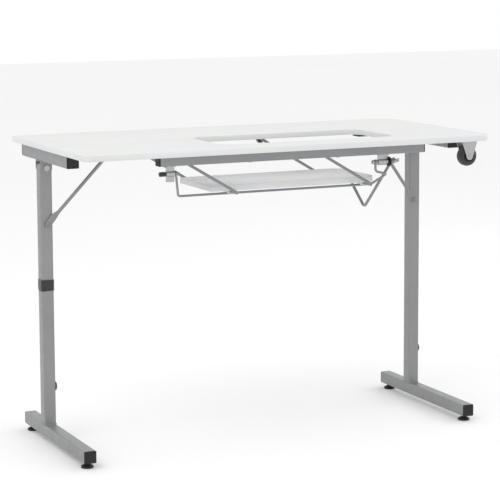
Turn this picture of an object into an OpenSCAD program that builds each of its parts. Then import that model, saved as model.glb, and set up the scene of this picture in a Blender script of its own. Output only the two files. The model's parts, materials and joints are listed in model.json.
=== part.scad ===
// Folding sewing table: a board with a machine opening, a platform that lifts on two wire bails,
// two T-legs that fold inwards, and two fixed casters under the right end.
// Frame: X to the right, Y to the back, Z up, origin on the floor under the middle of the board.

/* [Board] */
// Width of the board, left to right
top_w = 1016; // [980:1:1100]
// Depth of the board, front to back
top_d = 508; // [500:1:560]
// Thickness of the board
top_t = 12.5; // [12:0.5:22]
// Height of the work surface above the floor
top_h = 697; // [680:1:740]
// Corner radius at the left end
left_corner_r = 15; // [8:1:40]
// Corner radius at the right end
right_corner_r = 50; // [20:1:70]
// Thickness of the edge bands
band_t = 1.5; // [0.8:0.1:3]

/* [Machine opening] */
// Width of the opening
open_w = 441; // [430:1:450]
// Depth of the opening
open_d = 189; // [180:1:200]
// Distance of the opening's centre to the right of the middle
open_x = 70; // [60:1:75]
// Distance of the opening's centre behind the middle
open_y = -69.5; // [-75:0.5:-60]
// Corner radius of the opening
open_r = 28; // [10:1:40]

/* [Frame] */
// Side of the square leg and foot tubes
tube = 28; // [25:1:32]
// Wall of all tubes
wall = 1.5; // [1:0.1:2.5]
// Height of the rail and the crossbars
bar_h = 30; // [28:1:34]
// Depth of the front rail
rail_d = 25; // [20:1:30]
// Sideways distance of each leg from the middle
leg_x = 482; // [470:1:484]

/* [Platform and lift] */
// Width of the platform
plat_w = 427; // [400:1:430]
// Depth of the platform
plat_d = 188; // [170:1:188]
// Thickness of the platform
plat_t = 13.5; // [12:0.5:16]
// Diameter of the bail wire
bail_d = 7; // [6:0.5:8]
// Sideways reach of each bail
bail_reach = 151; // [140:1:155]
// Drop of each bail at rest
bail_drop = 89.5; // [80:0.5:95]

/* [Casters] */
// Wheel diameter
wheel_d = 48; // [40:1:50]
// Wheel width
wheel_w = 22; // [18:1:24]

/* [Hidden] */
$fn = 48;

steel_grey = [0.55, 0.56, 0.56];
wire_grey = [0.5, 0.5, 0.5];
zinc = [0.72, 0.74, 0.75];
white = [0.93, 0.93, 0.92];
black = [0.08, 0.08, 0.08];

gap = 0.3;
under = top_h - top_t;
bar_bottom = under - bar_h;
top_x = top_w / 2;
top_y = top_d / 2;

// front rail
rail_x0 = -298;
rail_x1 = 370;
rail_front = -160;
rail_back = rail_front + rail_d;
rail_y = rail_front + rail_d / 2;
rail_screw_x = [-75, 148];
cap_t = 3;
cap_plug = 12;

// crossbars
crossbar_y0 = -103;
crossbar_y1 = 205;
crossbar_screw_y = [-70, 165];
screw_d = 5;
screw_bite = 10;
screw_clear = 0.2;
head_d = 10;
head_t = 2.5;

// legs and feet
leg_y = 92;
foot_y0 = -188;
foot_y1 = 224;
foot_bottom = 13;
foot_top = foot_bottom + tube;
pivot_z = bar_bottom - 17;
bolt_d = 8;
run_gap = 0.08;
sheet_t = 2;
bolt_head_d = 13;
bolt_head_t = 3;
bolt_nut_d = 14;
bolt_nut_t = 6;
knuckle = 0.6;
eye_over = 0.25;
cheek_t = 2.5;
cheek_y = tube / 2 + gap;
pad_inset = 22;
pad_d = 28;
pad_t = 7;
stud_d = 8;
stud_l = 24;
bumper_z = 128;
bumper_d = 24;
bumper_h = 7;
strap_z = 367;
strap_h = 27;
strap_t = 2.5;

// braces
brace_x = 480;
brace_z = 508;
brace_top_x = 338;
brace_top_z = under - 6;
brace_y = leg_y - tube / 2 - 4.6;
brace_top_y = 31;
brace_d = 8;
brace_stub = 26;
brace_tab_l = 34;
brace_tab_w = 15;
brace_tab_t = 4;
brace_tilt = atan2(brace_top_z - brace_z, brace_x - brace_top_x);
brace_screw_d = 6;
brace_head_d = 12;
brace_head_t = 3;
strike_w = 34;
strike_d = 20;
strike_lip = 14;
strike_y = 4;
strike_clear = 0.3;
stop_at = [298, 32];
stop_size = [34, 30, 7];

// lift
pivot_left_x = -246;
pivot_right_x = 99;
lift_z = under - 15;
rod_z = lift_z - bail_drop;
bail_front_y = -128;
bail_rear_y = 160;
stub_front_y = -146;
stub_rear_y = 176;
bush_d = 12;
bush_flange = 1.5;
rear_plate_y = bail_rear_y + 9;
rear_plate_w = 36;
rear_plate_l = 26;
rear_tongue_w = 22;
plat_x0 = -150;
plat_y0 = -100;
plat_bottom = rod_z + bail_d / 2;
plat_corner_r = 30;
plat_left_r = 6;
clip_y = [-78, 66];
clip_w = 14;
clip_ear = 34;
clip_t = 2.5;

// support wire, prop arm and their brackets
wire_d = 5.5;
arm_y = -148;
arm_z = under - 48;
barrel_d = 12;
pin_d = 6;
left_bracket_x = -271;
right_bracket_x = 265;
lift_bracket_w = 20;
right_bracket_w = 26;
eye_left_x = left_bracket_x + lift_bracket_w / 2 + 4;
eye_right_x = right_bracket_x - right_bracket_w / 2 - 5.5;
eye_d = 12;
run_y = -62;
run_z = rod_z - bail_d / 2 - wire_d / 2 - gap;
run_x0 = -216;
run_x1 = 281.5;
hook_y = -138;
hook_z = 606;
hook_drop = 22;
prop_d = 7;
prop_x = 289;
prop_apex = [-15, 512];
prop_tip = [62, 574];
prop_eye_gap = 5;
disc_d = 22;
prop_eye_d = 14;
pin_out = 23;
pin_in = 8;
grip_out = 26;
grip_l = 15;
grip_d = 10.5;
clamp_head_d = 10;
clamp_head_t = 4;
clamp_out = 19;
wing_hub_d = 12;
wing_hub_l = 8;
wing_from = [0, 0, 4];
wing_to = [6, 0, 13];
wing_d = 4;
wing_tilt = 62;

// casters
caster_x = 478;
front_caster_y = -174;
rear_caster_y = 230;
axle_z = under - 42;
axle_d = 6;
hub_d = 28;
fork_in = wheel_w / 2 + 2;
fork_t = 2;
fork_top_w = 41;
fork_end_r = 9;
fork_plate_w = 46;

// ---------- shared shapes ----------

// A rectangle from [x0, y0] to [x1, y1] whose left and right corners have their own radii
module rounded_plate(x0, y0, x1, y1, left_r, right_r) {
    translate([x0 + left_r, y0]) square([x1 - x0 - left_r - right_r, y1 - y0]);
    translate([x0, y0 + left_r]) square([left_r + 0.01, y1 - y0 - 2 * left_r]);
    translate([x1 - right_r - 0.01, y0 + right_r]) square([right_r + 0.01, y1 - y0 - 2 * right_r]);
    for (y = [y0 + left_r, y1 - left_r]) translate([x0 + left_r, y]) circle(left_r);
    for (y = [y0 + right_r, y1 - right_r]) translate([x1 - right_r, y]) circle(right_r);
}

module board_outline(inset) {
    rounded_plate(
        inset - top_x, inset - top_y, top_x - inset, top_y - inset,
        left_corner_r - inset, right_corner_r - inset
    );
}

module opening_outline(outset) {
    rounded_plate(
        open_x - open_w / 2 - outset, open_y - open_d / 2 - outset,
        open_x + open_w / 2 + outset, open_y + open_d / 2 + outset,
        open_r + outset, open_r + outset
    );
}

// A round rod between two points
module rod(from, to, d) {
    v = to - from;
    translate(from) rotate([0, acos(v[2] / norm(v)), atan2(v[1], v[0])]) cylinder(h = norm(v), d = d);
}

// A bent wire through a list of points, with a ball a little thicker than the wire at each corner
module wire(points, d) {
    for (i = [0 : len(points) - 2]) rod(points[i], points[i + 1], d);
    for (i = [1 : len(points) - 2]) translate(points[i]) sphere(d = d + knuckle);
}

// A square tube along Y
module tube_y(x, y0, y1, z0, w, h) {
    difference() {
        translate([x - w / 2, y0, z0]) cube([w, y1 - y0, h]);
        translate([x - w / 2 + wall, y0 - 1, z0 + wall]) cube([w - 2 * wall, y1 - y0 + 2, h - 2 * wall]);
    }
}

// An end cap of a tube along Y: dir is -1 at the front end and 1 at the back end
module cap_y(x, y, z0, w, h, dir) {
    plug_w = w - 2 * wall - gap;
    plug_h = h - 2 * wall - gap;
    translate([x - w / 2, dir < 0 ? y - cap_t : y, z0]) cube([w, cap_t, h]);
    translate([x - plug_w / 2, dir < 0 ? y - 0.01 : y - cap_plug, z0 + (h - plug_h) / 2])
        cube([plug_w, cap_plug + 0.01, plug_h]);
}

// A cylinder along Y from y0 to y1
module shaft_y(x, y0, y1, z, d) {
    translate([x, y1, z]) rotate([90, 0, 0]) cylinder(h = y1 - y0, d = d);
}

// A cylinder along X from x0 to x1
module shaft_x(x0, x1, y, z, d) {
    translate([x0, y, z]) rotate([0, 90, 0]) cylinder(h = x1 - x0, d = d);
}

// An upright screw with its head below: the head's top face lies at z
module upright_screw(x, y, z, length) {
    translate([x, y, z - 0.01]) cylinder(h = length, d = screw_d);
    translate([x, y, z - head_t]) cylinder(h = head_t, d1 = head_d - 2, d2 = head_d);
}

module screw_holes(points, z0, z1) {
    for (p = points) translate([p[0], p[1], z0]) cylinder(h = z1 - z0, d = screw_d + screw_clear);
}

rail_screws_at = [for (x = rail_screw_x) [x, rail_y]];
crossbar_screws_at = [for (x = [-leg_x, leg_x], y = crossbar_screw_y) [x, y]];

// ---------- board ----------

module tabletop() {
    color(white) difference() {
        translate([0, 0, under]) linear_extrude(top_t) difference() {
            board_outline(band_t, $fn = 96);
            opening_outline(band_t, $fn = 96);
        }
        screw_holes(concat(rail_screws_at, crossbar_screws_at), under - 1, under + screw_bite + 1);
    }
}

module edge_band() {
    color(white) translate([0, 0, under]) linear_extrude(top_t) difference() {
        board_outline(0, $fn = 96);
        board_outline(band_t, $fn = 96);
    }
}

module opening_band() {
    color(white) translate([0, 0, under]) linear_extrude(top_t) difference() {
        opening_outline(band_t, $fn = 96);
        opening_outline(0, $fn = 96);
    }
}

// ---------- fixed frame ----------

module front_rail() {
    color(steel_grey) difference() {
        translate([rail_x0, rail_front, bar_bottom]) cube([rail_x1 - rail_x0, rail_d, bar_h]);
        translate([rail_x0 - 1, rail_front + wall, bar_bottom + wall])
            cube([rail_x1 - rail_x0 + 2, rail_d - 2 * wall, bar_h - 2 * wall]);
        screw_holes(rail_screws_at, bar_bottom - 1, under + 1);
        for (x = [pivot_left_x, pivot_right_x])
            shaft_y(x, rail_back - wall - 1, rail_back + 1, lift_z, bush_d);
    }
}

module rail_caps() {
    plug_d = rail_d - 2 * wall - gap;
    plug_h = bar_h - 2 * wall - gap;
    color(black) for (end = [[rail_x0 - cap_t, rail_x0 - 0.01], [rail_x1, rail_x1 - cap_plug]]) {
        translate([end[0], rail_front, bar_bottom]) cube([cap_t, rail_d, bar_h]);
        translate([end[1], rail_y - plug_d / 2, bar_bottom + (bar_h - plug_h) / 2])
            cube([cap_plug + 0.01, plug_d, plug_h]);
    }
}

module rail_screws() {
    color(zinc) for (p = rail_screws_at) upright_screw(p[0], p[1], bar_bottom, bar_h + screw_bite);
}

module crossbar(x) {
    color(steel_grey) difference() {
        tube_y(x, crossbar_y0, crossbar_y1, bar_bottom, tube, bar_h);
        screw_holes(crossbar_screws_at, bar_bottom - 1, under + 1);
    }
}

module left_crossbar() {
    crossbar(-leg_x);
}

module right_crossbar() {
    crossbar(leg_x);
}

module crossbar_caps() {
    color(black) for (x = [-leg_x, leg_x]) {
        cap_y(x, crossbar_y0, bar_bottom, tube, bar_h, -1);
        cap_y(x, crossbar_y1, bar_bottom, tube, bar_h, 1);
    }
}

module crossbar_screws() {
    color(zinc) for (p = crossbar_screws_at) upright_screw(p[0], p[1], bar_bottom, bar_h + screw_bite);
}

// A U-shaped bracket under the crossbar whose two cheeks hold the leg's bolt
module hinge_bracket(x) {
    color(steel_grey) difference() {
        union() {
            translate([x - tube / 2, leg_y - cheek_y - cheek_t, bar_bottom - sheet_t])
                cube([tube, 2 * (cheek_y + cheek_t), sheet_t]);
            for (y0 = [leg_y - cheek_y - cheek_t, leg_y + cheek_y]) {
                shaft_y(x, y0, y0 + cheek_t, pivot_z, tube);
                translate([x - tube / 2, y0, pivot_z]) cube([tube, cheek_t, bar_bottom - pivot_z]);
            }
        }
        shaft_y(x, leg_y - tube, leg_y + tube, pivot_z, bolt_d);
    }
}

module left_hinge_bracket() {
    hinge_bracket(-leg_x);
}

module right_hinge_bracket() {
    hinge_bracket(leg_x);
}

module hinge_bolts() {
    outer = cheek_y + cheek_t;
    color(zinc) for (x = [-leg_x, leg_x]) {
        shaft_y(x, leg_y - outer - 1, leg_y + outer + bolt_nut_t + 2, pivot_z, bolt_d);
        shaft_y(x, leg_y - outer - bolt_head_t, leg_y - outer, pivot_z, bolt_head_d);
        translate([x, leg_y + outer + bolt_nut_t, pivot_z]) rotate([90, 0, 0])
            cylinder(h = bolt_nut_t, d = bolt_nut_d, $fn = 6);
    }
}

// Steel strikes under the board that take the top ends of the braces
module brace_seats() {
    color(steel_grey) for (side = [-1, 1]) {
        translate([side * brace_top_x - strike_w / 2, strike_y, under - sheet_t + gap / 3])
            cube([strike_w, strike_d, sheet_t - gap / 3]);
        translate([
            side * (brace_top_x + brace_d / 2 + strike_clear + sheet_t / 2) - sheet_t / 2,
            strike_y,
            under - strike_lip
        ])
            cube([sheet_t, strike_d, strike_lip - sheet_t / 2]);
    }
}

module platform_stop() {
    color(black) translate([stop_at[0], stop_at[1], under - stop_size[2]]) cube(stop_size);
}

// ---------- lift ----------

module rear_pivot_brackets() {
    color(zinc) for (x = [pivot_left_x, pivot_right_x]) {
        difference() {
            union() {
                translate([x - rear_plate_w / 2, rear_plate_y, under - sheet_t])
                    cube([rear_plate_w, rear_plate_l, sheet_t]);
                translate([x - rear_tongue_w / 2, rear_plate_y, lift_z])
                    cube([rear_tongue_w, sheet_t, under - lift_z - sheet_t / 2]);
                shaft_y(x, rear_plate_y, rear_plate_y + sheet_t, lift_z, rear_tongue_w);
            }
            shaft_y(x, bail_rear_y, stub_rear_y, lift_z, bush_d);
        }
    }
}

// Flanged nylon bushes in the rail's back wall and in the rear brackets
module pivot_bushes() {
    color(black) for (x = [pivot_left_x, pivot_right_x]) {
        difference() {
            union() {
                shaft_y(x, rail_back - 2 * wall, rail_back + 0.01, lift_z, bush_d);
                shaft_y(x, rail_back, rail_back + bush_flange, lift_z, bush_d + 4);
                shaft_y(x, rear_plate_y - 0.01, rear_plate_y + 2 * sheet_t, lift_z, bush_d);
                shaft_y(x, rear_plate_y - bush_flange, rear_plate_y, lift_z, bush_d + 4);
            }
            shaft_y(x, rail_front, stub_rear_y + 10, lift_z, bail_d + 2 * run_gap);
        }
    }
}

// A U of wire: two arms, the cross rod that carries the platform, and two turned-out pivot ends
module bail(x) {
    color(wire_grey) wire([
        [x, stub_front_y, lift_z],
        [x, bail_front_y, lift_z],
        [x + bail_reach, bail_front_y, rod_z],
        [x + bail_reach, bail_rear_y, rod_z],
        [x, bail_rear_y, lift_z],
        [x, stub_rear_y, lift_z]
    ], bail_d);
}

module left_bail() {
    bail(pivot_left_x);
}

module right_bail() {
    bail(pivot_right_x);
}

clips_at = [for (x = [pivot_left_x, pivot_right_x], y = clip_y) [x + bail_reach, y]];
clip_screw_bite = 8;
clip_screw_d = 3.5;
clip_screw_out = 12.5;
clip_head_d = 7;
clip_head_t = 1.6;

module clip_screw_cut(d, z0, z1) {
    for (p = clips_at, s = [-1, 1])
        translate([p[0] + s * clip_screw_out, p[1], z0])
            cylinder(h = z1 - z0, d = d);
}

module platform() {
    color(white) difference() {
        translate([0, 0, plat_bottom]) linear_extrude(plat_t)
            rounded_plate(plat_x0, plat_y0, plat_x0 + plat_w, plat_y0 + plat_d,
                plat_left_r, plat_corner_r, $fn = 96);
        clip_screw_cut(clip_screw_d + screw_clear, plat_bottom - 1, plat_bottom + clip_screw_bite + 1);
    }
}

// Saddle clips under the platform, each round a bail's cross rod
module rod_clips() {
    color(white) difference() {
        union() {
            for (p = clips_at) {
                translate([p[0] - clip_ear / 2, p[1] - clip_w / 2, plat_bottom - clip_t])
                    cube([clip_ear, clip_w, clip_t]);
                shaft_y(p[0], p[1] - clip_w / 2, p[1] + clip_w / 2, rod_z, bail_d + 4);
            }
        }
        for (p = clips_at) {
            shaft_y(p[0], p[1] - clip_w, p[1] + clip_w, rod_z, bail_d + 2 * run_gap);
            translate([p[0] - clip_ear, p[1] - clip_w, plat_bottom]) cube([2 * clip_ear, 2 * clip_w, 10]);
        }
        clip_screw_cut(clip_screw_d + screw_clear, plat_bottom - 5, plat_bottom + 1);
    }
}

module clip_screws() {
    color(zinc) union() {
        clip_screw_cut(clip_screw_d, plat_bottom - clip_t - 0.1, plat_bottom + clip_screw_bite);
        for (p = clips_at, s = [-1, 1])
            translate([p[0] + s * clip_screw_out, p[1], plat_bottom - clip_t - clip_head_t])
                cylinder(h = clip_head_t, d1 = clip_head_d - 2, d2 = clip_head_d);
    }
}

// A plate that hangs from the rail and ends in a barrel along X
module lift_bracket(x, w, z1) {
    color(zinc) difference() {
        union() {
            translate([x - w / 2, arm_y - sheet_t / 2, z1]) cube([w, sheet_t, bar_bottom - z1]);
            translate([x - w / 2, arm_y - 9, bar_bottom - sheet_t]) cube([w, 20, sheet_t]);
            shaft_x(x - w / 2, x + w / 2, arm_y, arm_z, barrel_d);
        }
        shaft_x(x - w, x + w, arm_y, arm_z, pin_d + 2 * run_gap);
    }
}

module left_lift_bracket() {
    lift_bracket(left_bracket_x, lift_bracket_w, arm_z - 18);
}

module right_lift_bracket() {
    lift_bracket(right_bracket_x, right_bracket_w, arm_z - 8);
}

module latch_pin() {
    color(wire_grey) shaft_x(left_bracket_x - pin_out, eye_left_x + pin_in, arm_y, arm_z, pin_d);
}

module latch_grip() {
    x0 = left_bracket_x - grip_out;
    color(black) difference() {
        shaft_x(x0, x0 + grip_l, arm_y, arm_z, grip_d);
        shaft_x(left_bracket_x - pin_out, x0 + grip_l + 1, arm_y, arm_z, pin_d);
    }
}

// The wire under the platform that the bails' cross rods rest on
module support_wire() {
    color(wire_grey) difference() {
        union() {
            wire([
                [eye_left_x, arm_y, arm_z],
                [run_x0, run_y, run_z],
                [run_x1, run_y, run_z],
                [run_x1, hook_y, hook_z],
                [eye_right_x, arm_y, arm_z - hook_drop],
                [eye_right_x, arm_y, arm_z - 2]
            ], wire_d);
            for (x = [eye_left_x, eye_right_x])
                shaft_x(x - wire_d / 2 - eye_over, x + wire_d / 2 + eye_over, arm_y, arm_z, eye_d);
        }
        for (x = [eye_left_x, eye_right_x])
            shaft_x(x - wire_d, x + wire_d, arm_y, arm_z, pin_d + 2 * run_gap);
    }
}

module clamp_screw() {
    color(zinc) union() {
        shaft_x(eye_right_x - eye_d / 2 - 1, prop_x + clamp_out, arm_y, arm_z, pin_d);
        shaft_x(eye_right_x - eye_d / 2 - clamp_head_t, eye_right_x - eye_d / 2, arm_y, arm_z, clamp_head_d);
    }
}

module clamp_disc() {
    x0 = right_bracket_x + right_bracket_w / 2 + gap;
    color(black) difference() {
        shaft_x(x0, prop_x - prop_d / 2 - 2 * gap, arm_y, arm_z, disc_d);
        shaft_x(x0 - 1, prop_x, arm_y, arm_z, pin_d);
    }
}

module wing_nut() {
    x0 = prop_x + prop_d / 2 + 2 * gap;
    color(zinc) difference() {
        union() {
            shaft_x(x0, x0 + wing_hub_l, arm_y, arm_z, wing_hub_d);
            for (s = [-1, 1]) translate([x0 + 3, arm_y, arm_z]) rotate([s * wing_tilt, 0, 0]) {
                rod(wing_from, wing_to, wing_d);
                translate(wing_to) sphere(d = wing_d + 1);
            }
        }
        shaft_x(x0 - 1, x0 + 30, arm_y, arm_z, pin_d + 2 * run_gap);
    }
}

// The V of wire clamped by the wing nut: it props the platform's right end when raised
module prop_arm() {
    eye = [prop_x, arm_y, arm_z];
    apex = [prop_x, prop_apex[0], prop_apex[1]];
    tip = [prop_x, prop_tip[0], prop_tip[1]];
    down = (apex - eye) / norm(apex - eye);
    up = (tip - apex) / norm(tip - apex);
    color(wire_grey) difference() {
        union() {
            rod(eye + prop_eye_gap * down, apex + 2 * down, prop_d);
            rod(apex - 2 * up, tip, prop_d);
            shaft_x(prop_x - prop_d / 2 - eye_over, prop_x + prop_d / 2 + eye_over,
                arm_y, arm_z, prop_eye_d);
        }
        shaft_x(prop_x - prop_d, prop_x + prop_d, arm_y, arm_z, pin_d + 2 * run_gap);
    }
}

// ---------- legs ----------

// A square leg whose top is rounded about the hinge bolt
module leg(x) {
    color(steel_grey) difference() {
        union() {
            translate([x - tube / 2, leg_y - tube / 2, foot_top]) cube([tube, tube, pivot_z - foot_top]);
            shaft_y(x, leg_y - tube / 2, leg_y + tube / 2, pivot_z, tube);
        }
        translate([x - tube / 2 + wall, leg_y - tube / 2 + wall, foot_top - 1])
            cube([tube - 2 * wall, tube - 2 * wall, pivot_z - foot_top + 1.01]);
        translate([x - tube, leg_y - tube / 2 + wall, pivot_z]) cube([2 * tube, tube - 2 * wall, tube]);
        shaft_y(x, leg_y - tube, leg_y + tube, pivot_z, bolt_d + 2 * run_gap);
        shaft_y(x > 0 ? brace_x : -brace_x, leg_y - tube, leg_y, brace_z, brace_screw_d);
    }
}

// The plug that fills the top of the leg and carries the bolt
module leg_plug(x) {
    side = tube - 2 * wall - gap;
    color(black) difference() {
        union() {
            translate([x - side / 2, leg_y - side / 2, pivot_z - 26]) cube([side, side, 26]);
            shaft_y(x, leg_y - side / 2, leg_y + side / 2, pivot_z, side);
        }
        shaft_y(x, leg_y - tube, leg_y + tube, pivot_z, bolt_d + 2 * run_gap);
    }
}

module foot(x) {
    color(steel_grey) difference() {
        tube_y(x, foot_y0 + cap_t, foot_y1 - cap_t, foot_bottom, tube, tube);
        for (y = [foot_y0 + pad_inset, foot_y1 - pad_inset])
            translate([x, y, foot_bottom - 1]) cylinder(h = wall + 2, d = stud_d + 2 * run_gap);
    }
}

module foot_caps(x) {
    color(black) {
        cap_y(x, foot_y0 + cap_t, foot_bottom, tube, tube, -1);
        cap_y(x, foot_y1 - cap_t, foot_bottom, tube, tube, 1);
    }
}

// A levelling pad on a threaded stud
module foot_pad(x, y) {
    color(black) translate([x, y, 0]) rotate_extrude() polygon([
        [0, 0], [pad_d / 2 - 1, 0], [pad_d / 2, 1], [pad_d / 2, pad_t - 3], [pad_d / 2 - 4, pad_t],
        [stud_d / 2 + 2, pad_t + 1], [stud_d / 2 + 2, foot_bottom - 0.1], [stud_d / 2, foot_bottom - 0.1],
        [stud_d / 2, stud_l - 1], [stud_d / 2 - 1, stud_l], [0, stud_l]
    ]);
}

// A rubber dome on the right face of a leg
module bumper(x) {
    r = bumper_d / 2;
    ball_r = (r * r + bumper_h * bumper_h) / (2 * bumper_h);
    color(black) translate([x + tube / 2, leg_y, bumper_z]) rotate([0, 90, 0]) intersection() {
        translate([0, 0, bumper_h - ball_r]) sphere(ball_r);
        cylinder(h = bumper_h + 1, r = r);
    }
}

module brace_screw(side) {
    front = leg_y - tube / 2;
    color(zinc) union() {
        shaft_y(side * brace_x, front - brace_tab_t - 1, front + 6, brace_z, brace_screw_d);
        shaft_y(side * brace_x, front - brace_tab_t - 1 - brace_head_t,
            front - brace_tab_t - 1, brace_z, brace_head_d);
    }
}

// A round brace with a flattened, drilled lower end and a turned top end
module brace(side) {
    tab_y = leg_y - tube / 2 - 0.4;
    start = brace_tab_l - 12;
    run = brace_x - brace_top_x;
    rise = brace_top_z - brace_z;
    part = start / norm([run, rise]);
    from = [side * (brace_x - run * part), brace_y, brace_z + rise * part];
    to = [side * brace_top_x, brace_top_y, brace_top_z];
    color(wire_grey) difference() {
        union() {
            translate([side * brace_x, tab_y, brace_z]) rotate([90, 0, 0])
                cylinder(h = brace_tab_t, d = brace_tab_w + knuckle);
            translate([side * brace_x, tab_y - brace_tab_t + knuckle / 2, brace_z])
                rotate([0, side > 0 ? brace_tilt - 180 : -brace_tilt, 0])
                translate([0, 0, -brace_tab_w / 2]) cube([brace_tab_l, brace_tab_t - knuckle, brace_tab_w]);
            wire([from, to, to - [0, brace_stub, 0]], brace_d);
        }
        shaft_y(side * brace_x, leg_y - 2 * tube, leg_y, brace_z, brace_screw_d + 2 * run_gap);
    }
}

module left_leg() {
    leg(-leg_x);
}

module left_leg_plug() {
    leg_plug(-leg_x);
}

module left_foot() {
    foot(-leg_x);
}

module left_foot_caps() {
    foot_caps(-leg_x);
}

module left_bumper() {
    bumper(-leg_x);
}

// The strap that ties the folded legs together, kept round the left leg
module leg_strap() {
    outer = tube + 2 * strap_t;
    color(black) translate([-leg_x, leg_y, strap_z - strap_h / 2]) linear_extrude(strap_h) difference() {
        square([outer, outer], center = true);
        square([tube, tube], center = true);
    }
}

module left_brace_screw() {
    brace_screw(-1);
}

module left_brace() {
    brace(-1);
}

module left_front_pad() {
    foot_pad(-leg_x, foot_y0 + pad_inset);
}

module left_rear_pad() {
    foot_pad(-leg_x, foot_y1 - pad_inset);
}

module right_leg() {
    leg(leg_x);
}

module right_leg_plug() {
    leg_plug(leg_x);
}

module right_foot() {
    foot(leg_x);
}

module right_foot_caps() {
    foot_caps(leg_x);
}

module right_bumper() {
    bumper(leg_x);
}

module right_brace_screw() {
    brace_screw(1);
}

module right_brace() {
    brace(1);
}

module right_front_pad() {
    foot_pad(leg_x, foot_y0 + pad_inset);
}

module right_rear_pad() {
    foot_pad(leg_x, foot_y1 - pad_inset);
}

// ---------- casters ----------

module caster_fork(y) {
    drop = under - axle_z;
    color(zinc) difference() {
        union() {
            translate([caster_x - fork_plate_w / 2, y - fork_in - fork_t, under - fork_t])
                cube([fork_plate_w, 2 * (fork_in + fork_t), fork_t]);
            for (y1 = [y - fork_in, y + fork_in + fork_t])
                translate([caster_x, y1, axle_z]) rotate([90, 0, 0]) linear_extrude(fork_t) {
                    circle(fork_end_r);
                    polygon([
                        [-fork_end_r, 0], [fork_end_r, 0], [fork_top_w / 2, drop - fork_t - 4],
                        [fork_top_w / 2, drop - 1], [-fork_top_w / 2, drop - 1],
                        [-fork_top_w / 2, drop - fork_t - 4]
                    ]);
                }
        }
        shaft_y(caster_x, y - 40, y + 40, axle_z, axle_d);
    }
}

module caster_axle(y) {
    out = fork_in + fork_t;
    color(zinc) union() {
        shaft_y(caster_x, y - out - 0.5, y + out + 0.5, axle_z, axle_d);
        for (y0 = [y - out - 1.6, y + out]) shaft_y(caster_x, y0, y0 + 1.6, axle_z, axle_d + 3);
    }
}

module caster_hub(y) {
    color(black) difference() {
        shaft_y(caster_x, y - wheel_w / 2 - 1, y + wheel_w / 2 + 1, axle_z, hub_d);
        for (y0 = [y - wheel_w / 2 - 2, y + wheel_w / 2 - 3]) difference() {
            shaft_y(caster_x, y0, y0 + 5, axle_z, hub_d - 5);
            shaft_y(caster_x, y0 - 1, y0 + 6, axle_z, 13);
        }
        shaft_y(caster_x, y - wheel_w, y + wheel_w, axle_z, axle_d + 2 * run_gap);
    }
}

module caster_tyre(y) {
    r = wheel_d / 2;
    w = wheel_w / 2;
    color(black) translate([caster_x, y, axle_z]) rotate([90, 0, 0]) rotate_extrude($fn = 96) polygon([
        [hub_d / 2, -w], [r - 5, -w], [r - 2, 2 - w], [r, 6 - w], [r, w - 6], [r - 2, w - 2], [r - 5, w],
        [hub_d / 2, w]
    ]);
}

module front_caster_fork() {
    caster_fork(front_caster_y);
}

module front_caster_axle() {
    caster_axle(front_caster_y);
}

module front_caster_hub() {
    caster_hub(front_caster_y);
}

module front_caster_tyre() {
    caster_tyre(front_caster_y);
}

module rear_caster_fork() {
    caster_fork(rear_caster_y);
}

module rear_caster_axle() {
    caster_axle(rear_caster_y);
}

module rear_caster_hub() {
    caster_hub(rear_caster_y);
}

module rear_caster_tyre() {
    caster_tyre(rear_caster_y);
}

tabletop();
edge_band();
opening_band();
front_rail();
rail_caps();
rail_screws();
left_crossbar();
right_crossbar();
crossbar_caps();
crossbar_screws();
left_hinge_bracket();
right_hinge_bracket();
hinge_bolts();
brace_seats();
platform_stop();
rear_pivot_brackets();
pivot_bushes();
left_lift_bracket();
right_lift_bracket();
clamp_screw();
clamp_disc();
wing_nut();
latch_pin();
latch_grip();
support_wire();
prop_arm();
left_bail();
right_bail();
platform();
rod_clips();
clip_screws();
left_leg();
left_leg_plug();
left_foot();
left_foot_caps();
left_bumper();
leg_strap();
left_brace_screw();
left_brace();
left_front_pad();
left_rear_pad();
right_leg();
right_leg_plug();
right_foot();
right_foot_caps();
right_bumper();
right_brace_screw();
right_brace();
right_front_pad();
right_rear_pad();
front_caster_fork();
front_caster_axle();
front_caster_hub();
front_caster_tyre();
rear_caster_fork();
rear_caster_axle();
rear_caster_hub();
rear_caster_tyre();
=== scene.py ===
"""Looks of the sewing table: bevelled boards, bent wires, rounded tubes, moulded parts, light and camera."""

import json
import math

import bmesh
import bpy
from mathutils import Matrix, Vector


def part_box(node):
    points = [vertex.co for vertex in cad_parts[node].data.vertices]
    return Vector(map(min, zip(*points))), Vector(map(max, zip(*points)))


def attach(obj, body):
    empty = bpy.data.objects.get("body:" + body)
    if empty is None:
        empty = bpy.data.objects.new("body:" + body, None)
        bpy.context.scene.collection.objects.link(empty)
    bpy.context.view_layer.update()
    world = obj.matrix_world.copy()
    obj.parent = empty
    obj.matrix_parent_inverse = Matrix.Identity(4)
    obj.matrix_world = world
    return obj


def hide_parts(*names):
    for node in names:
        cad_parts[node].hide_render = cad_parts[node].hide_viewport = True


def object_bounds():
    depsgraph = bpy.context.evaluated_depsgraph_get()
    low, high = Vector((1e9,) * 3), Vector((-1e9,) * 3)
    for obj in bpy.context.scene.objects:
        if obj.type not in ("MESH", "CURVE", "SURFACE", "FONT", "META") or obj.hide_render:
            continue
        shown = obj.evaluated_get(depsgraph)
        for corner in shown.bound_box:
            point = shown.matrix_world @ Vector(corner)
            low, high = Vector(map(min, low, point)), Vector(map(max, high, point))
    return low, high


MM = 0.001
ARC_STEPS = 10
TAU = 2 * math.pi

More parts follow.
